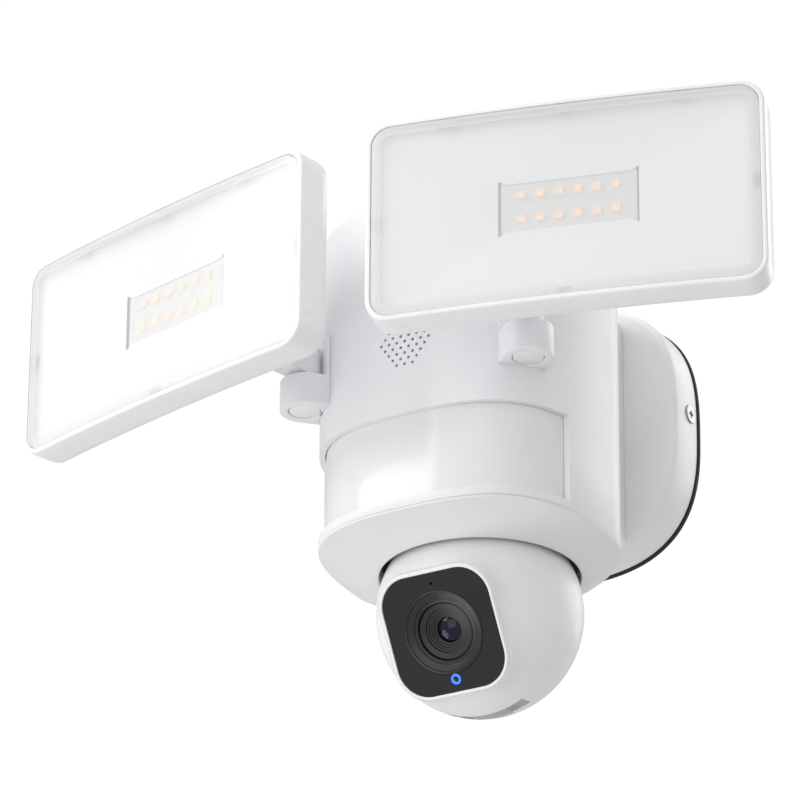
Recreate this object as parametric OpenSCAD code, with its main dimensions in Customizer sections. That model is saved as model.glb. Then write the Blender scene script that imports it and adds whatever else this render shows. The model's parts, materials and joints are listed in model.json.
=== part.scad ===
// Wall-mounted floodlight camera: two swivelling light panels, a pan and tilt
// camera ball, a motion sensor window and a speaker, on a junction-box base.
// Origin: centre of the back of the base, on the wall. -Y is the front, +Z is up.

/* [Base on the wall] */
// Half width and half height of the squircle base
base_half = 59.5; // [50:0.5:70]
// Depth of the base from the wall
base_depth = 23; // [15:0.5:40]
// Wall thickness of the base shell
base_wall = 2.5; // [1.5:0.1:4]
// Thickness of the foam gasket against the wall
gasket_t = 2; // [1:0.1:4]
// Distance between the two bracket screws of the junction box
box_screw_pitch = 88.9; // [70:0.1:100]

/* [Main body] */
// Half width of the body
body_half = 60.5; // [50:0.5:75]
// Y of the widest section of the body
body_mid_y = -85; // [-100:1:-70]
// Depth of the front half of the plan
body_front = 68; // [50:1:80]
// Depth of the rear half of the plan
body_rear = 48; // [40:1:60]
// Z of the flat top
body_top = 62; // [40:1:80]
// Z of the lower crease
body_crease = -84; // [-95:1:-70]
// Radius of the rounded top edge
body_round = 9; // [4:1:14]
// Wall thickness of the body
body_wall = 2.5; // [1.5:0.1:4]

/* [Motion sensor window] */
// Lower edge of the window
window_low = -80; // [-83:0.5:-70]
// Upper edge of the window
window_high = -41.5; // [-50:0.5:-30]
// Y where the window ends on each side
window_end_y = -118; // [-130:1:-100]

/* [Speaker grille] */
// Z of the middle of the grille
grille_z = -9; // [-20:1:10]
// Radius of the round field of holes
grille_r = 11.5; // [8:0.5:16]
// Radius of one hole
grille_hole = 0.7; // [0.4:0.05:1]

/* [Camera ball] */
// Y of the pan axis
ball_y = -88; // [-100:1:-80]
// Z of the ball centre
ball_z = -107; // [-115:1:-95]
// Outer radius of the ball
ball_r = 43; // [35:0.5:50]
// Inner radius of the ball
ball_in = 40.5; // [33:0.5:48]
// Radius of the round opening in the body
socket_r = 41.9; // [38:0.1:50]
// Downward tilt of the face in the rest pose
face_tilt = 32; // [10:1:60]
// Distance from the ball centre to the front lip of the face
face_y = 37.5; // [34:0.5:42]

/* [Light panels] */
// X of the swivel axis
pivot_x = 52.65; // [45:0.05:60]
// Y of the swivel axis
pivot_y = -143.8; // [-160:0.1:-130]
// Outward yaw of each panel in the rest pose
panel_yaw = 14.65; // [0:0.05:30]
// Width of one panel
panel_w = 164.5; // [120:0.5:200]
// Height of one panel
panel_h = 90.3; // [60:0.1:120]
// Thickness of one panel
panel_t = 18; // [12:0.5:30]
// Distance from the swivel axis to the panel's front
panel_front = 60.3; // [50:0.1:80]
// Sideways offset of the panel centre from the swivel axis
panel_side = 28.4; // [10:0.1:50]
// Z of the panel centre
panel_z = 14; // [0:1:40]
// Radius of the gentle bow across the width
bow_r = 1127; // [800:1:2000]
// Z of the arm and of the tilt axis
arm_z = -4; // [-10:0.5:5]
// Distance from the swivel axis to the tilt axis
tilt_reach = 32.3; // [25:0.1:40]

/* [Hidden] */
fine = 96;
gear_backlash = 0.36;
pan_teeth = 36;
pan_pinion_teeth = 12;
pan_module = 1;
pan_centre = pan_module * (pan_teeth + pan_pinion_teeth) / 2;
tilt_teeth = 28;
tilt_pinion_teeth = 10;
tilt_module = 0.8;
tilt_centre = tilt_module * (tilt_teeth + tilt_pinion_teeth) / 2;
lug_low = -25.4;
lug_high = -11.8;
lug_r = 10.4;
web_high = 7;
knuckle_r = 6.2;
swivel_r = 3;
deck_z = -62;
cover_turn = 70;
led_pitch = 7.8;
led_row = 11;
led_up = 4;

// ---------- outlines ----------

function oval_power(v, n) = sign(v) * pow(abs(v), 2 / n);

function oval_points(a, front, rear, n_front, n_rear) = [
    for (t = [0:5:355])
        let (s = sin(t), n = s < 0 ? n_front : n_rear, b = s < 0 ? front : rear)
            [a * oval_power(cos(t), n), b * oval_power(s, n)]
];

// Body plan seen from above, drawn in by an inset
module body_plan(inset) {
    translate([0, body_mid_y])
        polygon(oval_points(body_half - inset, body_front - inset, body_rear - inset, 2.87, 1.8));
}

// One thin horizontal slice of the body plan
module body_slice(inset, z) {
    translate([0, 0, z])
        linear_extrude(height = 0.02)
            body_plan(inset);
}

// Base outline as a slice facing the front
module base_slice(inset, y) {
    translate([0, y, 0])
        rotate([90, 0, 0])
            linear_extrude(height = 0.02)
                polygon(oval_points(base_half - inset, base_half - inset, base_half - inset, 2.85, 2.85));
}

module base_ring(outer, inner, y_front, y_back) {
    translate([0, y_back, 0])
        rotate([90, 0, 0])
            linear_extrude(height = y_back - y_front)
                difference() {
                    polygon(oval_points(base_half - outer, base_half - outer, base_half - outer, 2.85, 2.85));
                    polygon(oval_points(base_half - inner, base_half - inner, base_half - inner, 2.85, 2.85));
                }
}

// ---------- general pieces ----------

module block(x0, x1, y0, y1, z0, z1) {
    translate([x0, y0, z0])
        cube([x1 - x0, y1 - y0, z1 - z0]);
}

// Cylinder along Y from y0 to y1
module rod_y(r, x, z, y0, y1) {
    translate([x, y1, z])
        rotate([90, 0, 0])
            cylinder(r = r, h = y1 - y0, $fn = fine);
}

// Cylinder along X from x0 to x1
module rod_x(r, y, z, x0, x1) {
    translate([x0, y, z])
        rotate([0, 90, 0])
            cylinder(r = r, h = x1 - x0, $fn = fine);
}

// Cylinder along Z from z0 to z1
module rod_z(r, x, y, z0, z1) {
    translate([x, y, z0])
        cylinder(r = r, h = z1 - z0, $fn = fine);
}

// Rounded rectangle in X and Z, thick along Y
module rounded_slab(w, h, r, y0, y1) {
    block(-w / 2 + r, w / 2 - r, y0, y1, -h / 2, h / 2);
    block(-w / 2, w / 2, y0, y1, -h / 2 + r, h / 2 - r);
    for (x = [-1, 1], z = [-1, 1])
        rod_y(r, x * (w / 2 - r), z * (h / 2 - r), y0, y1);
}

function gear_point(r, a) = [r * cos(a), r * sin(a)];

// Straight-flanked gear outline with a tooth centred on the X axis
module gear_plan(teeth, size) {
    pitch_r = teeth * size / 2;
    tip_r = pitch_r + 0.75 * size;
    root_r = pitch_r - size;
    step = 360 / teeth;
    tip_half = step * gear_backlash * 0.28;
    root_half = step * gear_backlash * 0.75;
    polygon([
        for (i = [0:teeth - 1], k = [0:3])
            let (a = i * step)
                k == 0 ? gear_point(root_r, a - root_half)
                : k == 1 ? gear_point(tip_r, a - tip_half)
                : k == 2 ? gear_point(tip_r, a + tip_half)
                : gear_point(root_r, a + root_half)
    ]);
}

// ---------- base ----------

module wall_bracket() {
    color([0.62, 0.63, 0.65])
        difference() {
            union() {
                block(-54, 54, -2, 0, -13, 13);
                for (s = [-1, 1])
                    block(s * 54 - (s > 0 ? 2 : 0), s * 54 + (s > 0 ? 0 : 2), -15, 0, -8, 13);
            }
            for (s = [-1, 1]) {
                rod_y(2.4, s * box_screw_pitch / 2, 0, -5, 5);
                rod_x(1.9, -9, 5, s * 53 - 5, s * 53 + 5);
            }
        }
}

module wall_gasket() {
    color([0.06, 0.06, 0.06])
        base_ring(-0.6, 4, -gasket_t, 0);
}

module base_shell() {
    color([0.93, 0.93, 0.94])
        difference() {
            union() {
                difference() {
                    hull() {
                        base_slice(0, -gasket_t);
                        base_slice(0.2, -base_depth + 3.4);
                        base_slice(0.8, -base_depth + 1.8);
                        base_slice(2.0, -base_depth + 0.7);
                        base_slice(3.8, -base_depth + 0.02);
                    }
                    hull() {
                        base_slice(base_wall, 1);
                        base_slice(base_wall + 0.8, -base_depth + base_wall);
                    }
                }
                for (x = [-28, 28], z = [-6, 36])
                    rod_y(3, x, z, -base_depth + 1, -16.6);
            }
            rod_y(14, 0, -29, -base_depth - 1, -base_depth + 4);
            for (s = [-1, 1])
                rod_x(2.1, -9, 5, s * 58 - 6, s * 58 + 6);
            for (s = [-1, 1])
                rod_x(4.1, -9, 5, s > 0 ? 58.2 : -62, s > 0 ? 62 : -58.2);
        }
}

module base_screws() {
    color([0.55, 0.56, 0.58])
        for (s = [-1, 1])
            mirror([s > 0 ? 0 : 1, 0, 0])
                difference() {
                    union() {
                        rod_x(1.85, -9, 5, 48, 58.3);
                        rod_x(3.8, -9, 5, 58.25, 60.1);
                    }
                    block(59.2, 61, -9.5, -8.5, 3, 7);
                    block(59.2, 61, -11, -7, 4.5, 5.5);
                }
}

module terminal_block() {
    color([0.16, 0.30, 0.55])
        difference() {
            block(-15, 15, -13.5, -2, -12.5, -1);
            for (i = [-1, 0, 1])
                rod_y(2, i * 9, -6.8, -14, -8);
        }
}

module power_board() {
    color([0.10, 0.38, 0.20]) {
        block(-32, 32, -16.6, -15, 2, 40);
        block(-32, -24, -16.6, -15, -10, 2);
        block(24, 32, -16.6, -15, -10, 2);
    }
    color([0.20, 0.20, 0.21]) {
        block(-26, -6, -15, -4, 16, 34);
        rod_y(4, 4, 30, -15, -5);
        rod_y(4, 14, 30, -15, -5);
        block(-2, 22, -15, -9, 15.5, 24);
    }
}

// ---------- main body ----------

module body_solid(inset) {
    hull() {
        body_slice(inset, body_crease);
        for (a = [0:22.5:90])
            body_slice(inset + body_round * (1 - cos(a)),
                       body_top - inset - body_round + body_round * sin(a));
    }
}

module body_cavity() {
    translate([0, 0, body_crease - 1])
        linear_extrude(height = body_top - body_crease - 10)
            body_plan(body_wall);
    translate([0, 0, body_crease])
        linear_extrude(height = body_top - body_crease - body_wall)
            body_plan(body_round);
}

module body_skin() {
    difference() {
        union() {
            translate([0, 0, body_crease])
                linear_extrude(height = body_top - body_round - body_crease + 0.01)
                    body_plan(0);
            hull()
                for (a = [0:22.5:90])
                    body_slice(body_round * (1 - cos(a)), body_top - body_round + body_round * sin(a));
        }
        body_cavity();
    }
}

// Rounded tube that joins the body to the base
module neck_block(inset, y0, y1) {
    translate([0, 0, -6])
        rounded_slab(70 - 2 * inset, 116 - 2 * inset, 9 - inset, y0, y1);
}

// The four screw places, square to the curved rear corners
module at_rear_screws() {
    for (s = [-1, 1], z = [-60, 40])
        translate([s * 46, -56.6, z])
            rotate([0, 0, -s * 44])
                children();
}

module rear_shell() {
    color([0.93, 0.93, 0.94])
        difference() {
            body_skin();
            block(-80, 80, -170, body_mid_y + 0.02, -100, 90);
            neck_block(-0.1, -62, -base_depth + 1);
            at_rear_screws()
                rod_y(1.9, 0, 0, -12, 10);
        }
}

module neck() {
    color([0.93, 0.93, 0.94])
        difference() {
            neck_block(0, -49.5, -base_depth);
            neck_block(3, -62, -base_depth + 1);
        }
}

module grille_holes() {
    for (row = [-4:4], col = [-3:3])
        let (z = row * 2.6, x = (col + (abs(row) % 2) * 0.5) * 3.7)
            if (norm([x, z]) < grille_r)
                rod_y(grille_hole, x, grille_z + z, -156, -146);
}

module front_shell() {
    color([0.93, 0.93, 0.94])
        difference() {
            union() {
                intersection() {
                    body_skin();
                    block(-80, 80, -170, body_mid_y, -100, 90);
                }
                intersection() {
                    body_solid(1);
                    union() {
                        for (x = [-34, 34], z = [-14, 44])
                            rod_y(3, x, z, -150, -120);
                    }
                }
            }
            block(-80, 80, -170, window_end_y, window_low, window_high);
            grille_holes();
        }
}

module body_screws() {
    color([0.55, 0.56, 0.58])
        at_rear_screws() {
            rod_y(1.85, 0, 0, -10, 0.6);
            rod_y(3.4, 0, 0, 0.5, 2.2);
        }
}

module lower_bezel() {
    color([0.91, 0.91, 0.92])
        difference() {
            hull() {
                body_slice(0, body_crease - 0.02);
                body_slice(0.6, body_crease - 1);
                rod_z(44.2, 0, ball_y, body_crease - 7, body_crease - 6.6);
            }
            rod_z(socket_r, 0, ball_y, body_crease - 8, body_crease + 2);
        }
}

module pan_deck() {
    color([0.72, 0.73, 0.75])
        difference() {
            union() {
                intersection() {
                    translate([0, 0, deck_z])
                        linear_extrude(height = 3)
                            body_plan(body_wall + 0.05);
                    block(-70, 70, -112, -50, deck_z - 1, deck_z + 4);
                }
                block(-20, 20, -126.4, -111, deck_z, deck_z + 3);
                rod_z(11, 0, ball_y, deck_z, -51);
                for (s = [-1, 1])
                    rod_z(2.5, -pan_centre, ball_y + s * 14, deck_z, -44);
            }
            rod_z(6.55, 0, ball_y, deck_z - 1, -50);
            at_rear_screws()
                rod_y(2.6, 0, 0, -14, 4);
        }
}

module speaker_driver() {
    color([0.12, 0.12, 0.13]) {
        rod_y(13, 0, grille_z, -150.1, -146);
        rod_y(9, 0, grille_z, -146, -138);
    }
}

module main_board() {
    color([0.10, 0.38, 0.20])
        block(-42, 42, -120, -118.4, -20, 50);
    color([0.20, 0.20, 0.21]) {
        block(-12, 12, -118.4, -116, 8, 32);
        block(20, 34, -118.4, -116.4, -4, 10);
        block(-34, -22, -118.4, -115, 14, 34);
    }
}

module wifi_antenna() {
    color([0.35, 0.28, 0.12])
        block(-57.2, -56.2, -98, -84, 12, 42);
}

module pir_window() {
    color([0.97, 0.97, 0.98, 0.75])
        intersection() {
            translate([0, 0, window_low - 2])
                linear_extrude(height = window_high - window_low + 4)
                    difference() {
                        body_plan(body_wall + 0.1);
                        body_plan(body_wall + 2.1);
                    }
            block(-70, 70, -170, window_end_y + 4, -90, -30);
        }
}

module pir_board() {
    color([0.10, 0.38, 0.20]) {
        block(-40, 40, -128, -126.4, -78, -44);
        block(-6, 6, -126.4, -120, -48, -44);
    }
}

module pir_sensors() {
    color([0.75, 0.75, 0.72])
        for (x = [-27, 0, 27]) {
            rod_y(4.6, x, -60, -132, -128);
            block(x - 1.6, x + 1.6, -132.6, -132, -61.3, -58.7);
        }
}

// ---------- pan and tilt drive ----------

module pan_motor() {
    color([0.45, 0.46, 0.48])
        union() {
            rod_z(10, -pan_centre, ball_y, -42, -29);
            block(-pan_centre - 4, -pan_centre + 4, ball_y - 17, ball_y + 17, -44, -42);
            rod_z(1.5, -pan_centre, ball_y, -52, -41);
        }
}

module pan_pinion() {
    color([0.90, 0.88, 0.80])
        difference() {
            translate([-pan_centre, ball_y, -50.6])
                rotate([0, 0, 180 / pan_pinion_teeth])
                    linear_extrude(height = 6)
                        gear_plan(pan_pinion_teeth, pan_module);
            rod_z(1.55, -pan_centre, ball_y, -52, -40);
        }
}

module pan_gear() {
    color([0.90, 0.88, 0.80])
        difference() {
            translate([0, ball_y, -50.6])
                linear_extrude(height = 5)
                    gear_plan(pan_teeth, pan_module);
            rod_z(5, 0, ball_y, -52, -40);
        }
}

module yoke() {
    color([0.30, 0.31, 0.33])
        difference() {
            union() {
                rod_z(6.5, 0, ball_y, ball_z + 26, -50.6);
                rod_z(5, 0, ball_y, -51, -44);
                block(-26, 26, ball_y - 6, ball_y + 6, ball_z + 22, ball_z + 27);
                for (s = [-1, 1]) {
                    block(s * 24.5 - 1.5, s * 24.5 + 1.5, ball_y - 6, ball_y + 6, ball_z, ball_z + 23);
                    rod_x(6, ball_y, ball_z, s * 24.5 - 1.5, s * 24.5 + 1.5);
                }
            }
            rod_x(3, ball_y, ball_z, -30, 30);
            rod_z(2.5, 0, ball_y, ball_z + 10, -40);
        }
}

module tilt_pins() {
    color([0.62, 0.63, 0.65])
        for (s = [-1, 1])
            rod_x(3, ball_y, ball_z, s > 0 ? 23 : -36, s > 0 ? 36 : -23);
}

module tilt_motor() {
    color([0.45, 0.46, 0.48]) {
        rod_x(6.4, ball_y, ball_z + tilt_centre, -8, 13);
        rod_x(1, ball_y, ball_z + tilt_centre, 12, 20);
        block(-6, 6, ball_y - 4, ball_y + 4, ball_z + tilt_centre, ball_z + 22);
    }
}

module tilt_gear_piece(teeth, x0, x1, z) {
    translate([x0, ball_y, z])
        rotate([90, 0, 90])
            linear_extrude(height = x1 - x0)
                gear_plan(teeth, tilt_module);
}

module tilt_pinion() {
    color([0.90, 0.88, 0.80])
        difference() {
            tilt_gear_piece(tilt_pinion_teeth, 14.6, 18.2, ball_z + tilt_centre);
            rod_x(1.05, ball_y, ball_z + tilt_centre, 13, 20);
        }
}

module tilt_gear() {
    color([0.90, 0.88, 0.80]) {
        tilt_gear_piece(tilt_teeth, 15, 17.8, ball_z);
        rod_x(4, ball_y, ball_z, 17.7, 19);
    }
}

// ---------- camera ball, drawn with the face towards -Y at the origin ----------

module at_ball() {
    translate([0, ball_y, ball_z])
        rotate([face_tilt, 0, 0])
            children();
}

// Part of the hollow ball between two depths
module ball_band(y0, y1) {
    rotate([90, 0, 0])
        rotate_extrude($fn = fine)
            intersection() {
                difference() {
                    circle(r = ball_r, $fn = fine);
                    circle(r = ball_in, $fn = fine);
                }
                translate([0, -y1])
                    square([50, y1 - y0]);
            }
}

module neck_slot() {
    translate([-7.2, 0, 0])
        rotate([90, 0, 90])
            linear_extrude(height = 14.4)
                polygon([
                    gear_point(30, 3), gear_point(60, 3), gear_point(75, 40),
                    gear_point(60, 79), gear_point(30, 79)
                ]);
}

module at_cover() {
    rotate([cover_turn, 0, 0])
        children();
}

module ball_snout() {
    difference() {
        hull() {
            rounded_slab(52, 53, 14.5, -face_y, -face_y + 1.5);
            rod_y(33.8, 0, 0, -26.4, -25.4);
        }
        sphere(r = ball_in, $fn = fine);
        rounded_slab(49, 50, 13.2, -face_y - 1, -face_y + 2.5);
        rounded_slab(43, 44.8, 10, -face_y, -28);
    }
}

module ball_front_shell() {
    color([0.93, 0.93, 0.94])
        at_ball()
            difference() {
                union() {
                    ball_band(-28, 8);
                    ball_snout();
                    for (s = [-1, 1])
                        rod_x(6, 0, 0, s > 0 ? 26.6 : -41, s > 0 ? 41 : -26.6);
                    intersection() {
                        sphere(r = ball_r - 0.5, $fn = fine);
                        at_cover()
                            block(-22, 22, -43, -36.5, -8, 7);
                    }
                    for (s = [-1, 1])
                        rod_y(2.2, s * 24, 0, -33.5, -12);
                }
                rod_x(3.05, 0, 0, -38.5, 38.5);
                neck_slot();
                at_cover() {
                    difference() {
                        block(-17.3, 17.3, -50, -35, -3.7, 4.3);
                        sphere(r = ball_r - 2.25, $fn = fine);
                    }
                    block(-8.3, 8.3, -50, -38.9, -7.1, -3);
                    block(-7, 7, -39.5, -35, -1.6, 1.6);
                    rod_y(1.56, 13, 0, -42, -35);
                }
            }
}

module ball_rear_shell() {
    color([0.93, 0.93, 0.94])
        at_ball()
            difference() {
                ball_band(8.02, ball_r);
                neck_slot();
            }
}

module face_glass() {
    color([0.03, 0.03, 0.035])
        at_ball()
            difference() {
                rounded_slab(48.8, 49.8, 13.1, -face_y + 0.5, -face_y + 2.5);
                rod_y(17.6, 0, 0, -40, -30);
                rod_y(2.3, 0, -19.8, -40, -30);
                rod_y(0.6, 0, 20.5, -40, -30);
            }
}

module status_light() {
    color([0.15, 0.45, 0.95])
        at_ball()
            difference() {
                rod_y(2.2, 0, -19.8, -face_y + 0.6, -face_y + 3);
                rod_y(1.3, 0, -19.8, -face_y, -face_y + 1.6);
            }
}

module lens_ring() {
    color([0.05, 0.05, 0.055])
        at_ball()
            rotate([90, 0, 0])
                rotate_extrude($fn = fine)
                    polygon([
                        [17.5, face_y - 2.5], [17.5, face_y - 0.2], [16.6, face_y], [15.8, face_y - 0.5],
                        [11.9, face_y - 2.6], [11.9, face_y - 4.4], [17.5, face_y - 4.4]
                    ]);
}

module lens_barrel() {
    color([0.08, 0.08, 0.085])
        at_ball()
            rotate([90, 0, 0])
                rotate_extrude($fn = fine)
                    polygon([
                        [0, 8], [11, 8], [11, 14], [11.8, 14], [11.8, face_y - 2.8], [9, face_y - 3.6],
                        [5.4, face_y - 6], [5.4, face_y - 9], [0, face_y - 9]
                    ]);
}

module lens_glass() {
    color([0.10, 0.10, 0.20, 0.6])
        at_ball()
            intersection() {
                translate([0, -face_y + 13, 0])
                    sphere(r = 8.6, $fn = fine);
                rod_y(5.3, 0, 0, -face_y, -face_y + 8.9);
            }
}

module camera_chassis() {
    color([0.55, 0.56, 0.58])
        at_ball()
            difference() {
                union() {
                    block(-27, 27, -12, -10, -12, 12);
                    for (s = [-1, 1]) {
                        block(s * 20 - 1, s * 20 + 1, -10.5, 0, -4, 4);
                        rod_x(4, 0, 0, s * 20 - 1, s * 20 + 1);
                    }
                }
                rod_y(11.05, 0, 0, -13, -5);
                block(14.5, 18.3, -13, -9, -7.4, 7.4);
            }
}

module image_board() {
    color([0.10, 0.38, 0.20])
        at_ball() {
            block(-15, 15, -8, -6.4, -14, 14);
            block(-5, 5, -6.4, -4.6, -12, -4);
        }
}

module card_slot() {
    color([0.70, 0.71, 0.73])
        at_ball()
            at_cover()
                difference() {
                    block(-6.9, 6.9, -38.6, -26, -1.5, 1.5);
                    block(-5.6, 5.6, -39, -27, -0.5, 0.5);
                }
}

module card_hinge_pin() {
    color([0.62, 0.63, 0.65])
        at_ball()
            at_cover()
                rod_x(0.6, -40.4, -4.6, -8.3, 8.3);
}

module card_cover() {
    color([0.80, 0.80, 0.81])
        at_ball()
            at_cover()
                difference() {
                    union() {
                        intersection() {
                            difference() {
                                sphere(r = ball_r - 0.2, $fn = fine);
                                sphere(r = ball_r - 1.9, $fn = fine);
                            }
                            union() {
                                block(-17, 17, -50, -30, -2.4, 4);
                                block(-8, 8, -50, -30, -4.6, -2.3);
                            }
                        }
                        rod_x(1.15, -40.4, -4.6, -8, 8);
                    }
                    rod_x(0.66, -40.4, -4.6, -30, 30);
                }
}

module sync_button() {
    color([0.25, 0.25, 0.27])
        at_ball()
            at_cover()
                rod_y(1.5, 13, 0, -38, -36);
}

// ---------- light panels, drawn at the right swivel axis ----------

module at_side(s) {
    mirror([s > 0 ? 0 : 1, 0, 0])
        translate([pivot_x, pivot_y, 0])
            rotate([0, 0, panel_yaw])
                children();
}

module at_panel() {
    translate([panel_side, 0, panel_z])
        children();
}

module bow(depth, z0, z1) {
    translate([0, bow_r - panel_front, z0])
        cylinder(r = bow_r - depth, h = z1 - z0, $fn = 2048);
}

// Rounded panel outline between two depths behind the bowed front
module bowed_slab(w, h, r, depth0, depth1) {
    difference() {
        intersection() {
            rounded_slab(w, h, r, -panel_front - 1, -panel_front + depth1 + 5);
            bow(depth0, -60, 60);
        }
        bow(depth1, -61, 61);
    }
}

// Plan of a side bracket: a round lug joined to the body, with the body's outline taken away.
// The lug stands forward of a flat web that clears the arm's knuckle.
module bracket_plan() {
    difference() {
        translate([pivot_x, pivot_y])
            rotate(45)
                union() {
                    circle(r = lug_r, $fn = 96);
                    translate([-lug_r + 0.06, 0])
                        square([2 * lug_r - 0.12, 20]);
                }
        body_plan(-0.02);
    }
}

module bracket(s) {
    color([0.93, 0.93, 0.94])
        mirror([s > 0 ? 0 : 1, 0, 0])
            difference() {
                translate([0, 0, lug_low])
                    linear_extrude(height = web_high - lug_low)
                        bracket_plan();
                translate([pivot_x, pivot_y, 0])
                    rotate([0, 0, 45])
                        block(-lug_r - 1, lug_r + 1, -15, 6.8, lug_high, web_high + 1);
                rod_z(swivel_r + 0.05, pivot_x, pivot_y, lug_low - 1, lug_high + 1);
                rod_z(6.8, pivot_x, pivot_y, lug_low - 1, lug_low + 2.5);
            }
}

module arm(s) {
    color([0.90, 0.90, 0.91])
        at_side(s)
            difference() {
                union() {
                    rod_z(knuckle_r, 0, 0, lug_high + 0.3, 4);
                    block(-5, 5, -tilt_reach + 2, 0, arm_z - 5.5, arm_z + 5.5);
                    rod_x(6, -tilt_reach, arm_z, -6, 6);
                }
                rod_z(swivel_r, 0, 0, lug_high - 1, 5);
                rod_x(2.55, -tilt_reach, arm_z, -7, 7);
            }
}

module swivel_pin(s) {
    color([0.90, 0.90, 0.91])
        at_side(s) {
            rod_z(swivel_r, 0, 0, lug_low + 1, 4);
            rod_z(6.5, 0, 0, lug_low + 0.4, lug_low + 2.2);
        }
}

module tilt_pin(s) {
    color([0.62, 0.63, 0.65])
        at_side(s) {
            rod_x(2.5, -tilt_reach, arm_z, -10.4, 10.4);
            rod_x(3.8, -tilt_reach, arm_z, 10.4, 11.6);
        }
}

module housing(s) {
    color([0.94, 0.94, 0.95])
        at_side(s)
            difference() {
                union() {
                    at_panel()
                        difference() {
                            bowed_slab(panel_w, panel_h, 10.5, 0, panel_t);
                            bowed_slab(panel_w - 4, panel_h - 4, 8.5, -1, panel_t - 2.5);
                        }
                    for (k = [-1, 1]) {
                        block(k * 8.35 - 2.05, k * 8.35 + 2.05, -43.5, -tilt_reach, arm_z - 6, arm_z + 6);
                        rod_x(6, -tilt_reach, arm_z, k * 8.35 - 2.05, k * 8.35 + 2.05);
                    }
                }
                rod_x(2.5, -tilt_reach, arm_z, -12, 12);
            }
}

module heat_sink(s) {
    color([0.70, 0.71, 0.73])
        at_side(s)
            at_panel() {
                block(-36, 36, -46.6, -44.9, -14 + led_up, 14 + led_up);
            }
}

module led_board(s) {
    color([0.95, 0.95, 0.92])
        at_side(s)
            at_panel()
                block(-28, 28, -48.2, -46.6, -13 + led_up, 13 + led_up);
}

module leds(s) {
    color([1.0, 0.90, 0.70])
        at_side(s)
            at_panel()
                for (i = [-2.5:1:2.5], k = [-0.5, 0.5])
                    translate([i * led_pitch, -49.1, led_up + k * led_row])
                        block(-1.5, 1.5, 0, 0.9, -1.5, 1.5);
}

// Thin upright rectangle, used as one end of the reflector funnel
module funnel_end(w, h, y, up) {
    block(-w / 2, w / 2, y, y + 0.02, up - h / 2, up + h / 2);
}

module reflector(s) {
    color([0.97, 0.97, 0.97])
        at_side(s)
            at_panel()
                difference() {
                    union() {
                        rounded_slab(159.6, 85.4, 8.2, -54.9, -54.1);
                        hull() {
                            funnel_end(155, 81, -54.9, 0);
                            funnel_end(51, 22.6, -48.6, led_up);
                        }
                    }
                    hull() {
                        funnel_end(152, 78, -55.2, 0);
                        funnel_end(48.5, 20, -48.4, led_up);
                    }
                }
}

module lens(s) {
    color([0.96, 0.97, 0.98, 0.55])
        at_side(s)
            at_panel()
                bowed_slab(panel_w - 4.4, panel_h - 4.4, 8.3, 0.4, 2.4);
}

module left_bracket() { bracket(-1); }
module left_arm() { arm(-1); }
module left_swivel_pin() { swivel_pin(-1); }
module left_tilt_pin() { tilt_pin(-1); }
module left_housing() { housing(-1); }
module left_heat_sink() { heat_sink(-1); }
module left_led_board() { led_board(-1); }
module left_leds() { leds(-1); }
module left_reflector() { reflector(-1); }
module left_lens() { lens(-1); }
module right_bracket() { bracket(1); }
module right_arm() { arm(1); }
module right_swivel_pin() { swivel_pin(1); }
module right_tilt_pin() { tilt_pin(1); }
module right_housing() { housing(1); }
module right_heat_sink() { heat_sink(1); }
module right_led_board() { led_board(1); }
module right_leds() { leds(1); }
module right_reflector() { reflector(1); }
module right_lens() { lens(1); }

wall_bracket();
wall_gasket();
base_shell();
base_screws();
terminal_block();
power_board();
rear_shell();
neck();
front_shell();
body_screws();
lower_bezel();
pan_deck();
speaker_driver();
main_board();
wifi_antenna();
pir_window();
pir_board();
pir_sensors();
pan_motor();
pan_pinion();
pan_gear();
yoke();
tilt_motor();
tilt_pins();
tilt_pinion();
ball_front_shell();
ball_rear_shell();
face_glass();
status_light();
lens_ring();
lens_barrel();
lens_glass();
camera_chassis();
image_board();
tilt_gear();
card_slot();
card_hinge_pin();
card_cover();
sync_button();
left_bracket();
left_arm();
left_swivel_pin();
left_tilt_pin();
left_housing();
left_heat_sink();
left_led_board();
left_leds();
left_reflector();
left_lens();
right_bracket();
right_arm();
right_swivel_pin();
right_tilt_pin();
right_housing();
right_heat_sink();
right_led_board();
right_leds();
right_reflector();
right_lens();
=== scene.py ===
import json
import math

import bmesh
import bpy
from mathutils import Matrix, Vector


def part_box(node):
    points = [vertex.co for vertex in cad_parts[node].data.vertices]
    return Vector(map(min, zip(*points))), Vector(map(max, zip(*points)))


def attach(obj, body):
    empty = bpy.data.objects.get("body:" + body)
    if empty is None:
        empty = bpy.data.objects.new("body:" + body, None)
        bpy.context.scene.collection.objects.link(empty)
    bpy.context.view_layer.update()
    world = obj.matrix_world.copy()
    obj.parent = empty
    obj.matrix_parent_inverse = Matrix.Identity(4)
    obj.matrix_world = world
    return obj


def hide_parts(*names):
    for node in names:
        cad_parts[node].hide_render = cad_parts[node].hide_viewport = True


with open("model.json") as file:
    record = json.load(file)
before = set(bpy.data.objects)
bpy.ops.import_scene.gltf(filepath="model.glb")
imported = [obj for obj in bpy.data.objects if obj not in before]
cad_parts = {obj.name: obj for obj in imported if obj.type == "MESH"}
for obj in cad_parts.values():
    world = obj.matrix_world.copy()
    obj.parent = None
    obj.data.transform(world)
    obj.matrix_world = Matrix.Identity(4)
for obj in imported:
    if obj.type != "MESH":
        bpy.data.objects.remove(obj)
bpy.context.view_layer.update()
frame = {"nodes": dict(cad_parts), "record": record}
joints = {j["name"]: j for j in frame["record"]["behaviour"]["joints"]}

MM = 0.001
SMOOTH_ANGLE = math.radians(34)

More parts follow.
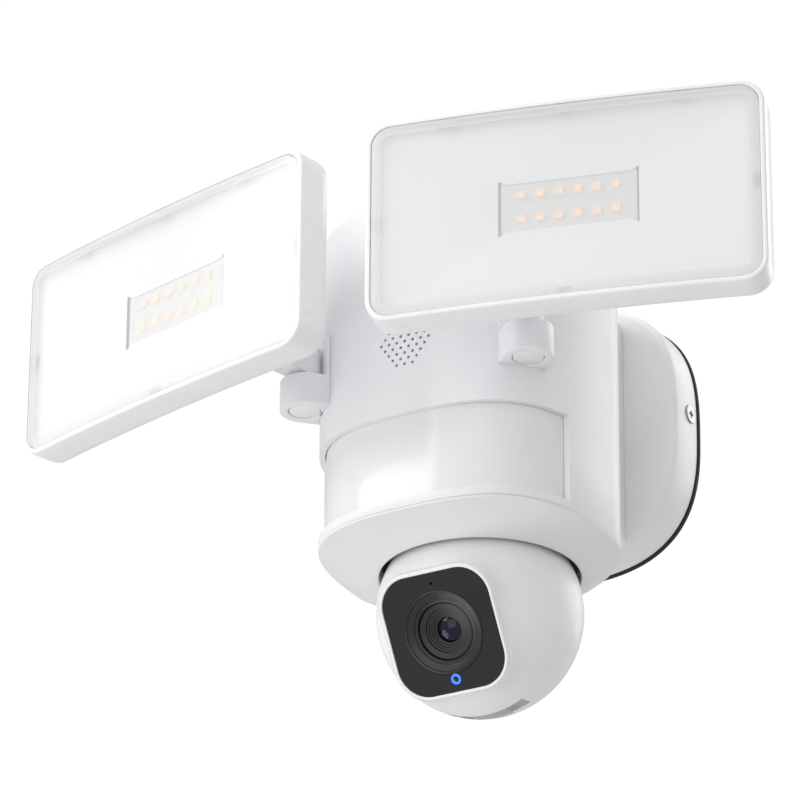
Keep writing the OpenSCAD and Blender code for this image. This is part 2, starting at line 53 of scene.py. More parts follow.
# Sizes in millimetres, the same ones as the CAD part.
BODY_HALF = 60.5
BODY_MID_Y = -85.0
BODY_FRONT = 68.0
BODY_REAR = 48.0
BODY_TOP = 62.0
BODY_CREASE = -84.0
BODY_ROUND = 9.0
WALL = 2.5
WINDOW_LOW = -80.0
WINDOW_HIGH = -41.5
WINDOW_END_Y = -118.0
GRILLE_Z = -9.0
GRILLE_R = 11.5
GRILLE_HOLE = 0.72
SOCKET_R = 41.9
BALL_R = 43.0
BALL_IN = 40.5
FACE_TILT = math.radians(32)
FACE_D = 37.5
STATUS_Z = -19.8
BASE_HALF = 59.5
BASE_POWER = 2.85
PANEL_YAW = math.radians(14.65)
PANEL_W = 164.5
PANEL_H = 90.3
PANEL_FRONT = 60.3
PANEL_SIDE = 28.4
PANEL_Z = 14.0
PANEL_CORNER = 10.5
BOW_R = 1127.0
TILT_REACH = 32.3
ARM_Z = -4.0
COVER_TURN = math.radians(70)
COVER_FLOOR = 40.75


def joint_mm(name):
    return Vector(joints[name]["pos_m"]) / MM


BALL_CENTRE = joint_mm("camera_tilt")
PIVOT = joint_mm("right_swivel")

GRILLE_ROW = 2.6
GRILLE_PITCH = 3.7
GRILLE_FRONT_Y = -158.0
GRILLE_BACK_Y = -148.0
SCREW_RECESS_R = 4.1
SCREW_RECESS_X = 57.9
BEZEL_OPENING_R = 43.0
BEZEL_DROP = 7.0
SHELL_THICK = 2.2
NECK_SLOT_HALF = 7.2
EAR_OFFSET = 8.35
EAR_HALF = 2.05
EAR_R = 6.0
EAR_ROOT_Y = -42.6
CLIP_INSET = 4.4
HINGE_PIN_Y = -40.4
HINGE_PIN_Z = -4.6
HINGE_HALF = 8.0


# ---------- materials ----------

def new_material(name):
    mat = bpy.data.materials.new(name)
    mat.use_nodes = True
    nodes = mat.node_tree.nodes
    nodes.clear()
    shader = nodes.new("ShaderNodeBsdfPrincipled")
    out = nodes.new("ShaderNodeOutputMaterial")
    mat.node_tree.links.new(shader.outputs[0], out.inputs[0])
    return mat, nodes, mat.node_tree.links, shader, out


def noise(nodes, links, scale, detail=3.0):
    coords = nodes.new("ShaderNodeTexCoord")
    tex = nodes.new("ShaderNodeTexNoise")
    tex.inputs["Scale"].default_value = scale
    tex.inputs["Detail"].default_value = detail
    links.new(coords.outputs["Object"], tex.inputs["Vector"])
    return tex


def ramp(nodes, links, source, low, high, start=0.3, end=0.7):
    node = nodes.new("ShaderNodeValToRGB")
    node.color_ramp.elements[0].position = start
    node.color_ramp.elements[1].position = end
    node.color_ramp.elements[0].color = low
    node.color_ramp.elements[1].color = high
    links.new(source, node.inputs["Fac"])
    return node


def grey(value):
    return (value, value, value, 1.0)


def plastic(name, color, rough=0.36, grain=2600.0, bump=0.02, coat=0.0, vary=0.015, metal=0.0):
    """Moulded plastic: fine spark-eroded grain, slow colour drift and roughness patches."""
    mat, nodes, links, shader, _ = new_material(name)
    low = tuple(max(0.0, c - vary) for c in color) + (1.0,)
    high = tuple(min(1.0, c + vary) for c in color) + (1.0,)
    drift = noise(nodes, links, 35.0, 2.0)
    tone = ramp(nodes, links, drift.outputs["Fac"], low, high)
    links.new(tone.outputs["Color"], shader.inputs["Base Color"])
    patches = noise(nodes, links, 140.0, 4.0)
    rough_ramp = ramp(nodes, links, patches.outputs["Fac"], grey(rough - 0.04), grey(rough + 0.05))
    links.new(rough_ramp.outputs["Color"], shader.inputs["Roughness"])
    fine = noise(nodes, links, grain, 2.0)
    relief = nodes.new("ShaderNodeBump")
    relief.inputs["Strength"].default_value = bump
    relief.inputs["Distance"].default_value = 0.0003
    links.new(fine.outputs["Fac"], relief.inputs["Height"])
    links.new(relief.outputs["Normal"], shader.inputs["Normal"])
    shader.inputs["Metallic"].default_value = metal
    shader.inputs["Coat Weight"].default_value = coat
    shader.inputs["Coat Roughness"].default_value = 0.06
    return mat


def see_through(name, color, rough, clear, grain=900.0, bump=0.015):
    """Milky or clear plastic: part of the light goes straight through."""
    mat, nodes, links, shader, out = new_material(name)
    low = tuple(max(0.0, c - 0.012) for c in color) + (1.0,)
    drift = noise(nodes, links, 18.0, 2.0)
    tone = ramp(nodes, links, drift.outputs["Fac"], low, tuple(color) + (1.0,))
    links.new(tone.outputs["Color"], shader.inputs["Base Color"])
    shader.inputs["Roughness"].default_value = rough
    fine = noise(nodes, links, grain, 2.0)
    relief = nodes.new("ShaderNodeBump")
    relief.inputs["Strength"].default_value = bump
    relief.inputs["Distance"].default_value = 0.0002
    links.new(fine.outputs["Fac"], relief.inputs["Height"])
    links.new(relief.outputs["Normal"], shader.inputs["Normal"])
    gap = nodes.new("ShaderNodeBsdfTransparent")
    mix = nodes.new("ShaderNodeMixShader")
    mix.inputs["Fac"].default_value = clear
    links.new(shader.outputs[0], mix.inputs[1])
    links.new(gap.outputs[0], mix.inputs[2])
    links.new(mix.outputs[0], out.inputs[0])
    return mat


def glowing(name, color, strength):
    mat, nodes, links, shader, _ = new_material(name)
    spots = noise(nodes, links, 900.0, 2.0)
    low = tuple(c * 0.85 for c in color) + (1.0,)
    tone = ramp(nodes, links, spots.outputs["Fac"], low, tuple(color) + (1.0,))
    links.new(tone.outputs["Color"], shader.inputs["Base Color"])
    links.new(tone.outputs["Color"], shader.inputs["Emission Color"])
    shader.inputs["Emission Strength"].default_value = strength
    shader.inputs["Roughness"].default_value = 0.3
    return mat


WHITE = plastic("satin_white_plastic", (0.84, 0.845, 0.855), rough=0.38, coat=0.08)
BODY_WHITE = plastic("body_white_plastic", (0.82, 0.825, 0.84), rough=0.42, coat=0.05)
RIM_WHITE = plastic("panel_white_plastic", (0.87, 0.875, 0.885), rough=0.3, coat=0.15)
INNER_GREY = plastic("inner_grey_plastic", (0.45, 0.46, 0.48), rough=0.5)
SCREW_STEEL = plastic("screw_steel", (0.42, 0.43, 0.45), rough=0.32, metal=1.0, bump=0.05)
RUBBER = plastic("black_gasket_rubber", (0.012, 0.012, 0.013), rough=0.7, bump=0.12, vary=0.004)
BOARD = plastic("circuit_board_green", (0.03, 0.16, 0.07), rough=0.45, vary=0.02)
BLUE_PLASTIC = plastic("terminal_blue", (0.05, 0.14, 0.36), rough=0.45)
BLACK = plastic("matt_black_plastic", (0.009, 0.009, 0.010), rough=0.42, bump=0.06, vary=0.005)
FACE_BLACK = plastic("face_black_gloss", (0.004, 0.004, 0.005), rough=0.12, bump=0.0, coat=0.3,
                     vary=0.002)
RING_BLACK = plastic("lens_ring_black", (0.010, 0.010, 0.011), rough=0.34, bump=0.03, vary=0.004)
MOTOR = plastic("motor_metal", (0.30, 0.31, 0.33), rough=0.35, metal=0.9)
GEAR = plastic("gear_acetal", (0.80, 0.77, 0.68), rough=0.5)
ALUMINIUM = plastic("plain_aluminium", (0.62, 0.63, 0.65), rough=0.4, metal=1.0)
COVER_GREY = plastic("cover_grey_rubber", (0.42, 0.43, 0.45), rough=0.55, bump=0.08)
REFLECTOR = plastic("reflector_white", (0.88, 0.885, 0.895), rough=0.45, coat=0.1, vary=0.008)
LED_BOARD = plastic("led_board_white", (0.72, 0.72, 0.71), rough=0.5)
LED_CHIP = glowing("led_phosphor", (1.0, 0.66, 0.42), 0.25)
BLUE_LIGHT = glowing("status_blue", (0.03, 0.16, 0.95), 1.6)
WINDOW = see_through("sensor_window_gloss", (0.86, 0.865, 0.88), 0.16, 0.06, bump=0.004)
LENS = see_through("frosted_lens", (0.93, 0.932, 0.94), 0.2, 0.54)
LENS_BORDER = see_through("frosted_lens_border", (0.80, 0.81, 0.825), 0.25, 0.25)
OPTIC = see_through("camera_lens_glass", (0.010, 0.008, 0.03), 0.03, 0.35, bump=0.0)
IRIS = plastic("lens_iris_violet", (0.045, 0.035, 0.10), rough=0.12, coat=1.0, vary=0.02, bump=0.0)


# ---------- mesh helpers ----------

def mesh_object(name, verts, faces, materials, body, indices=None):
    mesh = bpy.data.meshes.new(name)
    mesh.from_pydata([Vector(v) * MM for v in verts], [], faces)
    for mat in materials:
        mesh.materials.append(mat)
    if indices:
        for poly, index in zip(mesh.polygons, indices):
            poly.material_index = index
    obj = bpy.data.objects.new(name, mesh)
    bpy.context.scene.collection.objects.link(obj)
    tidy_normals(obj)
    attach(obj, body)
    return obj


def tidy_normals(obj, angle=SMOOTH_ANGLE, outward=True):
    bm = bmesh.new()
    bm.from_mesh(obj.data)
    if outward:
        bmesh.ops.recalc_face_normals(bm, faces=bm.faces)
    for face in bm.faces:
        face.smooth = True
    for edge in bm.edges:
        edge.smooth = len(edge.link_faces) != 2 or edge.calc_face_angle(0.0) < angle
    bm.to_mesh(obj.data)
    bm.free()


def lofted(rings, cap_start=False, cap_end=False):
    """Vertices and faces of a skin through closed rings of equal length."""
    count = len(rings[0])
    verts = [p for ring in rings for p in ring]
    faces = []
    for k in range(len(rings) - 1):
        a = k * count
        b = a + count
        for i in range(count):
            j = (i + 1) % count
            faces.append((a + i, a + j, b + j, b + i))
    if cap_start:
        faces.append(tuple(range(count))[::-1])
    if cap_end:
        last = (len(rings) - 1) * count
        faces.append(tuple(range(last, last + count)))
    return verts, faces


def joined(parts):
    """One set of vertices and faces from several."""
    verts = []
    faces = []
    for more, quads in parts:
        start = len(verts)
        verts += more
        faces += [tuple(start + i for i in face) for face in quads]
    return verts, faces


def circle_points(radius, sides):
    points = []
    for k in range(sides):
        angle = 2 * math.pi * k / sides
        points.append((radius * math.cos(angle), radius * math.sin(angle)))
    return points


def apply_modifiers(obj):
    graph = bpy.context.evaluated_depsgraph_get()
    graph.update()
    baked = bpy.data.meshes.new_from_object(obj.evaluated_get(graph))
    obj.modifiers.clear()
    obj.data = baked


def cut(obj, verts, faces):
    """Takes one closed cutter away from obj."""
    mesh = bpy.data.meshes.new("cutter")
    mesh.from_pydata([Vector(v) * MM for v in verts], [], faces)
    tool = bpy.data.objects.new("cutter", mesh)
    bpy.context.scene.collection.objects.link(tool)
    tidy_normals(tool)
    mod = obj.modifiers.new("cut", "BOOLEAN")
    mod.operation = "DIFFERENCE"
    mod.solver = "EXACT"
    mod.object = tool
    apply_modifiers(obj)
    bpy.data.objects.remove(tool)
    tidy_normals(obj, outward=False)


def box_faces(x0, x1, y0, y1, z0, z1):
    verts = [(x, y, z) for x in (x0, x1) for y in (y0, y1) for z in (z0, z1)]
    faces = [(0, 1, 3, 2), (4, 6, 7, 5), (0, 4, 5, 1), (2, 3, 7, 6), (0, 2, 6, 4), (1, 5, 7, 3)]
    return verts, faces


def thicken(obj, wall):
    mod = obj.modifiers.new("wall", "SOLIDIFY")
    mod.thickness = wall * MM
    mod.offset = -1.0
    apply_modifiers(obj)
    tidy_normals(obj)


def oval(a, front, rear, n_front, n_rear, count):
    """Evenly spaced points of a superellipse whose front and rear halves differ."""
    dense = []
    steps = 2400
    for k in range(steps):
        t = 2 * math.pi * k / steps
        c, s = math.cos(t), math.sin(t)
        n = n_front if s < 0 else n_rear
        b = front if s < 0 else rear
        dense.append((math.copysign(abs(c) ** (2 / n), c) * a, math.copysign(abs(s) ** (2 / n), s) * b))
    lengths = [0.0]
    for k in range(steps):
        p, q = dense[k], dense[(k + 1) % steps]
        lengths.append(lengths[-1] + math.hypot(q[0] - p[0], q[1] - p[1]))
    points = []
    k = 0
    for i in range(count):
        want = lengths[-1] * i / count
        while lengths[k + 1] < want:
            k += 1
        f = (want - lengths[k]) / max(lengths[k + 1] - lengths[k], 1e-9)
        p, q = dense[k], dense[(k + 1) % steps]
        points.append((p[0] + (q[0] - p[0]) * f, p[1] + (q[1] - p[1]) * f))
    return points


def body_ring(inset, z, count=360):
    shape = oval(BODY_HALF - inset, BODY_FRONT - inset, BODY_REAR - inset, 2.87, 1.8, count)
    return [(x, BODY_MID_Y + y, z) for x, y in shape]


def base_ring(inset, y, count=240):
    half = BASE_HALF - inset
    return [(x, y, z) for x, z in oval(half, half, half, BASE_POWER, BASE_POWER, count)]


def softened(node, body, mat, width=0.35, segments=2, name=None):
    """A copy of a CAD solid with its flat faces merged and its edges rounded."""
    source = frame["nodes"][node]
    mesh = source.data.copy()
    mesh.materials.clear()
    mesh.materials.append(mat)
    obj = bpy.data.objects.new(name or node + "_finished", mesh)
    bpy.context.scene.collection.objects.link(obj)
    bm = bmesh.new()
    bm.from_mesh(mesh)
    bmesh.ops.remove_doubles(bm, verts=bm.verts, dist=2e-6)
    bmesh.ops.dissolve_limit(bm, angle_limit=math.radians(1.0), verts=bm.verts, edges=bm.edges)
    bm.to_mesh(mesh)
    bm.free()
    mod = obj.modifiers.new("edges", "BEVEL")
    mod.width = width * MM
    mod.segments = segments
    mod.limit_method = "ANGLE"
    mod.angle_limit = math.radians(40)
    apply_modifiers(obj)
    tidy_normals(obj, outward=False)
    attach(obj, body)
    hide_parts(node)
    return obj


def paint(node, mat):
    obj = frame["nodes"][node]
    if not obj.material_slots:
        obj.data.materials.append(mat)
    for place in obj.material_slots:
        place.material = mat


# ---------- main body ----------

def make_body():
    foot = ((1.0, 0.1), (0.35, 0.25), (0.0, 0.8))
    rings = [body_ring(inset, BODY_CREASE + rise) for inset, rise in foot]
    rings += [body_ring(0.0, z) for z in (-60.0, -20.0, 20.0)]
    for k in range(13):
        a = math.pi / 2 * k / 12
        height = BODY_TOP - BODY_ROUND + BODY_ROUND * math.sin(a)
        rings.append(body_ring(BODY_ROUND * (1 - math.cos(a)), height))
    verts, faces = lofted(rings, cap_end=True)
    obj = mesh_object("body_shell", verts, faces, [BODY_WHITE], "housing")
    thicken(obj, WALL)
    cut(obj, *box_faces(-80, 80, -170, WINDOW_END_Y, WINDOW_LOW, WINDOW_HIGH))
    cut(obj, *grille_drills())
    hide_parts("front_shell", "rear_shell")
    return obj


def grille_drills(sides=14):
    """Cylinders that drill the speaker grille, in staggered rows inside a circle."""
    drills = []
    for row in range(-4, 5):
        for col in range(-3, 4):
            x = (col + (row % 2) * 0.5) * GRILLE_PITCH
            z = row * GRILLE_ROW
            if math.hypot(x, z) < GRILLE_R:
                hole = circle_points(GRILLE_HOLE, sides)
                ends = (GRILLE_FRONT_Y, GRILLE_BACK_Y)
                rings = [[(x + p, y, GRILLE_Z + z + q) for p, q in hole] for y in ends]
                drills.append(lofted(rings, True, True))
    return joined(drills)


def make_bezel():
    """Sloping lip under the body, from the body's outline down to the round ball socket."""
    centre_y = BALL_CENTRE.y
    outer = [body_ring(0.9, BODY_CREASE - 0.02), body_ring(0.1, BODY_CREASE - 0.15),
             body_ring(0.0, BODY_CREASE - 0.5), body_ring(0.35, BODY_CREASE - 1.0)]
    edge = outer[-1]
    rings = list(outer)
    for t in (0.15, 0.4, 0.7, 0.92, 1.0):
        ring = []
        for x, y, z in edge:
            d = math.hypot(x, y - centre_y)
            r = d + (BEZEL_OPENING_R - d) * t
            drop = (BODY_CREASE - BEZEL_DROP - z) * (1 - (1 - t) ** 1.25)
            ring.append((x / d * r, centre_y + (y - centre_y) / d * r, z + drop))
        rings.append(ring)
    for r, rise in ((42.3, -6.9), (SOCKET_R, -6.4), (SOCKET_R, 1.5)):
        ring = []
        for x, y, _ in edge:
            d = math.hypot(x, y - centre_y)
            ring.append((x / d * r, centre_y + (y - centre_y) / d * r, BODY_CREASE + rise))
        rings.append(ring)
    inner = 0.94
    rim_z = BODY_CREASE + 1.5
    rings.append([(x * inner, BODY_MID_Y + (y - BODY_MID_Y) * inner, rim_z) for x, y, _ in edge])
    verts, faces = lofted(rings + [rings[0]])
    obj = mesh_object("lower_bezel_finished", verts, faces, [BODY_WHITE], "housing")
    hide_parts("lower_bezel")
    return obj


def make_window():
    """Curved glossy sensor window set back in its opening."""
    low, high = WINDOW_LOW - 1.5, WINDOW_HIGH + 1.5
    shape = [p for p in body_ring(WALL + 0.1, 0.0, 720) if p[1] < WINDOW_END_Y + 3.5]
    shape.sort(key=lambda p: p[0])
    heights = [low + (high - low) * k / 10 for k in range(11)]
    verts = [(x, y, z) for z in heights for x, y, _ in shape]
    n = len(shape)
    faces = [(r * n + i, r * n + i + 1, (r + 1) * n + i + 1, (r + 1) * n + i)
             for r in range(10) for i in range(n - 1)]
    obj = mesh_object("sensor_window", verts, faces, [WINDOW], "housing")
    bm = bmesh.new()
    bm.from_mesh(obj.data)
    for face in bm.faces:
        if face.normal.y > 0:
            face.normal_flip()
    bm.to_mesh(obj.data)
    bm.free()
    mod = obj.modifiers.new("wall", "SOLIDIFY")
    mod.thickness = 2.0 * MM
    mod.offset = -1.0
    apply_modifiers(obj)
    tidy_normals(obj)
    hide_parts("pir_window")
    return obj


def make_base():
    """Base cover with its two side screw recesses, and the gasket behind it."""
    profile = [(4.0, -4.0), (2.6, -2.05), (0.6, -2.05), (0.1, -2.5), (0.0, -4.0), (0.1, -12.0),
               (0.25, -19.4), (0.55, -20.8), (1.1, -21.8), (2.0, -22.5), (3.2, -22.85), (4.6, -23.0),
               (12.0, -23.0), (30.0, -23.0)]
    rings = [base_ring(i, y) for i, y in profile]
    verts, faces = lofted(rings, cap_end=True)
    obj = mesh_object("base_cover", verts, faces, [WHITE], "housing")
    screws_lo, screws_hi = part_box("base_screws")
    y = (screws_lo[1] + screws_hi[1]) / 2 / MM
    z = (screws_lo[2] + screws_hi[2]) / 2 / MM
    for side in (-1, 1):
        ring = [(y + p, z + q) for p, q in circle_points(SCREW_RECESS_R, 40)]
        hole = [[(side * x, p, q) for p, q in ring] for x in (SCREW_RECESS_X, BASE_HALF + 2.5)]
        cut(obj, *lofted(hole, True, True))
    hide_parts("base_shell")
    lip = ((3.0, -0.05), (-0.2, -0.05), (-0.55, -0.3), (-0.55, -1.7), (-0.2, -1.98), (3.0, -1.98))
    seal = [base_ring(i, y) for i, y in lip]
    verts, faces = lofted(seal + [seal[0]])
    gasket = mesh_object("wall_gasket_finished", verts, faces, [RUBBER], "housing")
    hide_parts("wall_gasket")


# ---------- camera ball ----------

def at_ball(p):
    x, y, z = p
    c, s = math.cos(FACE_TILT), math.sin(FACE_TILT)
    return (x + BALL_CENTRE.x, y * c - z * s + BALL_CENTRE.y, y * s + z * c + BALL_CENTRE.z)


def at_cover(p):
    """Point given in the card cover's frame, which is turned under the ball."""
    x, y, z = p
    c, s = math.cos(COVER_TURN), math.sin(COVER_TURN)
    return at_ball((x, y * c - z * s, y * s + z * c))


def rounded_outline(w, h, r, corner=14, across=30, up=16):
    """Points of a rounded rectangle in X and Z, with points along its straight sides too."""
    points = []
    for sx, sz, start in ((1, 1, 0.0), (-1, 1, 0.5), (-1, -1, 1.0), (1, -1, 1.5)):
        cx, cz = sx * (w / 2 - r), sz * (h / 2 - r)
        for k in range(corner + 1):
            a = math.pi * (start + 0.5 * k / corner)
            points.append((cx + r * math.cos(a), cz + r * math.sin(a)))
        straight = across if sx == sz else up
        nx, nz = {(1, 1): (-1, 1), (-1, 1): (-1, -1), (-1, -1): (1, -1), (1, -1): (1, 1)}[(sx, sz)]
        a = math.pi * (start + 0.5)
        p = points[-1]
        q = (nx * (w / 2 - r) + r * math.cos(a), nz * (h / 2 - r) + r * math.sin(a))
        for k in range(1, straight):
            t = k / straight
            points.append((p[0] + (q[0] - p[0]) * t, p[1] + (q[1] - p[1]) * t))
    return points


def make_ball():
    """The ball with its flat square face, neck slot, and the recess for the card cover."""
    outline = rounded_outline(52.0, 53.0, 14.5, across=16)
    lip = [(49.0, 50.0, 13.0, 2.4), (49.0, 50.0, 13.0, 0.35), (49.5, 50.5, 13.2, 0.06),
           (50.3, 51.3, 13.6, 0.0), (51.1, 52.1, 14.0, 0.12), (51.8, 52.8, 14.4, 0.6)]
    rings = []
    for w, h, r, back in lip:
        rings.append([(x, back - FACE_D, z) for x, z in rounded_outline(w, h, r, across=16)])
    blend_d = 24.5
    blend_r = math.sqrt(BALL_R ** 2 - blend_d ** 2)
    slope = blend_d / blend_r
    for k in range(1, 10):
        t = k / 9
        ring = []
        for x, z in outline:
            start_r = math.hypot(x, z)
            h00, h10 = 2 * t ** 3 - 3 * t ** 2 + 1, t ** 3 - 2 * t ** 2 + t
            h01, h11 = -2 * t ** 3 + 3 * t ** 2, t ** 3 - t ** 2
            span = FACE_D - 0.6 - blend_d
            r = h00 * start_r + h10 * 1.5 + h01 * blend_r + h11 * span * slope
            d = (FACE_D - 0.6) + (blend_d - FACE_D + 0.6) * t
            ring.append((x / start_r * r, -d, z / start_r * r))
        rings.append(ring)
    angle = math.acos(blend_d / BALL_R)
    for k in range(1, 44):
        a = angle + (math.pi - 0.01 - angle) * k / 43
        ring = []
        for x, z in outline:
            u = math.hypot(x, z)
            out = BALL_R * math.sin(a)
            ring.append((x / u * out, -BALL_R * math.cos(a), z / u * out))
        rings.append(ring)
    verts, faces = lofted([[at_ball(p) for p in ring] for ring in rings], cap_end=True)
    obj = mesh_object("camera_ball_shell", verts, faces, [WHITE], "camera_ball")
    thicken(obj, SHELL_THICK)
    slot = []
    for x in (-NECK_SLOT_HALF, NECK_SLOT_HALF):
        ring = []
        for r, degrees in ((30, 3), (60, 3), (75, 40), (60, 79), (30, 79)):
            angle = math.radians(degrees)
            ring.append(at_ball((x, r * math.cos(angle), r * math.sin(angle))))
        slot.append(ring)
    cut(obj, *lofted(slot, True, True))
    verts, faces = band_block(17.3, -3.7, 4.3, COVER_FLOOR, BALL_R + 2)
    cut(obj, verts, faces)
    verts, faces = band_block(8.3, -7.1, -3.0, 38.8, BALL_R + 2)
    cut(obj, verts, faces)
    verts, faces = band_block(8.9, -7.7, -2.6, 37.6, 38.6)
    pocket = mesh_object("card_hinge_pocket", verts, faces, [COVER_GREY], "camera_ball")
    verts, faces = band_block(17.25, -2.9, 4.35, BALL_IN + 0.1, COVER_FLOOR - 0.02)
    floor = mesh_object("card_cover_floor", verts, faces, [COVER_GREY], "camera_ball")
    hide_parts("ball_front_shell", "ball_rear_shell")
    return obj


def band_block(half, z0, z1, r_in, r_out, steps=24):
    """A block under the ball that follows its sphere, in the frame of the card cover."""
    rings = []
    for k in range(steps + 1):
        x = -half + 2 * half * k / steps
        ring = []
        for z, r in ((z0, r_in), (z1, r_in), (z1, r_out), (z0, r_out)):
            ring.append(at_cover((x, -math.sqrt(r * r - x * x - z * z), z)))
        rings.append(ring)
    return lofted(rings, True, True)


def make_card_cover():
    """Curved rubber cover with a knuckle on its pin and grip ribs at both ends."""
    under = COVER_FLOOR + 0.4
    parts = [band_block(17.0, -2.4, 4.0, under, BALL_R - 0.3, 32)]
    parts += [rib(x) for x in (-12.0, -10.6, -9.2, 9.2, 10.6, 12.0)]
    knuckle = []
    shoulder = HINGE_HALF - 0.3
    for x, radius in ((-HINGE_HALF, 0.9), (-shoulder, 1.15), (shoulder, 1.15), (HINGE_HALF, 0.9)):
        ring = circle_points(radius, 24)
        knuckle.append([at_cover((x, HINGE_PIN_Y + p, HINGE_PIN_Z + q)) for p, q in ring])
    parts.append(lofted(knuckle, True, True))
    parts.append(band_block(HINGE_HALF, HINGE_PIN_Z, -2.3, under, BALL_R - 0.4))
    verts, faces = joined(parts)
    obj = mesh_object("card_cover_finished", verts, faces, [COVER_GREY], "card_cover")
    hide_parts("card_cover")


def rib(x):
    """One raised grip rib across the card cover."""
    root = BALL_R - 0.6
    tip = BALL_R - 0.08
    rings = []
    for z in (-2.4, -1.2, 0.0, 1.2, 2.4):
        ring = []
        for dx, r in ((-0.3, root), (0.3, root), (0.2, tip), (-0.2, tip)):
            y = -math.sqrt(r * r - (x + dx) ** 2 - z * z)
            ring.append(at_cover((x + dx, y, z)))
        rings.append(ring)
    return lofted(rings, True, True)


def revolved(profile, sides, z=0.0):
    """Rings about the optical axis, or one beside it, from radius and forward distance pairs."""
    rings = []
    for r, d in profile:
        rings.append([at_ball((p, -d, z + q)) for p, q in circle_points(r, sides)])
    return rings


def turned(name, profile, mat, node=None, closed=False):
    """A turned piece of the camera ball about its optical axis."""
    rings = revolved(profile, 96)
    if closed:
        verts, faces = lofted(rings + [rings[0]])
    else:
        verts, faces = lofted(rings, True, True)
    obj = mesh_object(name, verts, faces, [mat], "camera_ball")
    if node:
        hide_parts(node)
    return obj


def make_lens_ring():
    """Stepped black ring round the lens; depths are below the face."""
    steps = [(17.5, 3.5), (17.5, 0.5), (17.25, 0.15), (16.9, 0.02), (16.5, 0.15), (16.2, 0.6), (15.6, 0.8),
             (13.6, 1.7), (13.4, 2.1), (12.5, 2.3), (12.1, 2.1), (11.9, 2.6), (11.9, 4.3)]
    ring = [(r, FACE_D - depth) for r, depth in steps]
    obj = turned("lens_ring_finished", ring, RING_BLACK, "lens_ring", closed=True)


def make_lens_barrel():
    """Barrel with four baffle steps leading in to the glass."""
    barrel = [(0.1, 8.0), (11.0, 8.0), (11.0, 14.0), (11.8, 14.0)]
    barrel += [(11.8, FACE_D - 3.3), (11.5, FACE_D - 3.0), (9.3, FACE_D - 3.7)]
    for k in range(4):
        r = 9.2 - 0.9 * k
        d = FACE_D - 0.55 * k
        barrel += [(r, d - 3.9), (r - 0.15, d - 4.3), (r - 0.75, d - 4.4)]
    barrel += [(5.4, FACE_D - 6.2), (5.4, FACE_D - 8.8), (0.1, FACE_D - 8.8)]
    obj = turned("lens_barrel_finished", barrel, BLACK, "lens_barrel")


def make_lens_glass():
    """Domed front glass with a violet iris behind it."""
    top = FACE_D - 4.6
    radius = 9.0
    dome = []
    for k in range(13):
        r = 5.3 * (1 - k / 12) + 0.02
        dome.append((r, top - radius + math.sqrt(radius ** 2 - r ** 2)))
    back = [(5.3, dome[0][1] - 0.9)]
    obj = turned("lens_glass_finished", back + dome, OPTIC, "lens_glass")
    iris_steps = [(5.2, 8.0), (4.2, 7.6), (2.6, 7.3), (1.2, 7.8), (0.05, 8.2)]
    iris = turned("lens_iris", [(r, FACE_D - depth) for r, depth in iris_steps], IRIS)


def make_status_light():
    """Blue glowing ring with a dark middle, in the hole of the face glass."""
    low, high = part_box("status_light")
    radius = (high.x - low.x) / MM / 2
    steps = ((1.3, 1.6), (1.35, 0.7), (1.75, 0.5), (2.15, 0.7), (radius, 1.0), (radius, 1.8))
    rings = revolved([(r, FACE_D - depth) for r, depth in steps], 48, STATUS_Z)
    verts, faces = lofted(rings + [rings[0]])
    ring = mesh_object("status_light_ring", verts, faces, [BLUE_LIGHT], "camera_ball")
    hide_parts("status_light")
    steps = ((1.28, 1.7), (1.28, 0.75), (1.0, 0.62), (0.5, 0.6))
    rings = revolved([(r, FACE_D - depth) for r, depth in steps], 48, STATUS_Z)
    verts, faces = lofted(rings, True, True)
    middle = mesh_object("status_light_middle", verts, faces, [FACE_BLACK], "camera_ball")


# ---------- light panels ----------

def at_side(side, p):
    x, y, z = p
    c, s = math.cos(PANEL_YAW), math.sin(PANEL_YAW)
    return (side * (PIVOT.x + x * c - y * s), PIVOT.y + x * s + y * c, z)


def at_panel(side, x, depth, z):
    """Point of a panel: x and z from its centre, depth behind its bowed front."""
    bow = BOW_R - math.sqrt(BOW_R ** 2 - x ** 2)
    return at_side(side, (PANEL_SIDE + x, -PANEL_FRONT + bow + depth, PANEL_Z + z))


def panel_ring(side, inset, depth):
    w, h = PANEL_W - 2 * inset, PANEL_H - 2 * inset
    r = max(PANEL_CORNER - inset, min(2.0, h / 2 - 0.05), 0.2)
    return [at_panel(side, x, depth, z) for x, z in rounded_outline(w, h, r, across=40, up=8)]


def make_housing(side, label):
    """Panel tray: a rounded rim, sides that tuck in to a flat back, and two hinge ears."""
    profile = [(2.15, 3.0), (2.15, 0.35), (1.95, 0.08), (1.6, 0.0), (0.8, 0.0), (0.4, 0.1), (0.12, 0.4),
               (0.0, 0.9), (0.0, 6.0), (0.15, 12.0), (0.4, 14.2), (1.0, 15.8), (2.1, 17.1), (3.6, 17.8),
               (5.6, 18.0), (12.0, 18.0), (20.0, 18.0), (30.0, 18.0), (40.0, 18.0), (44.0, 18.0)]
    rings = [panel_ring(side, i, d) for i, d in profile]
    parts = [lofted(rings, cap_end=True)]
    shoulder = EAR_HALF - 0.3
    for k in (-1, 1):
        ear = []
        for x, inset in ((-EAR_HALF, 0.3), (-shoulder, 0.0), (shoulder, 0.0), (EAR_HALF, 0.3)):
            ear.append([at_side(side, (k * EAR_OFFSET + x, y, z)) for y, z in ear_outline(inset)])
        parts.append(lofted(ear, True, True))
    verts, faces = joined(parts)
    obj = mesh_object(label + "_panel_housing", verts, faces, [RIM_WHITE], label + "_panel")
    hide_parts(label + "_housing")


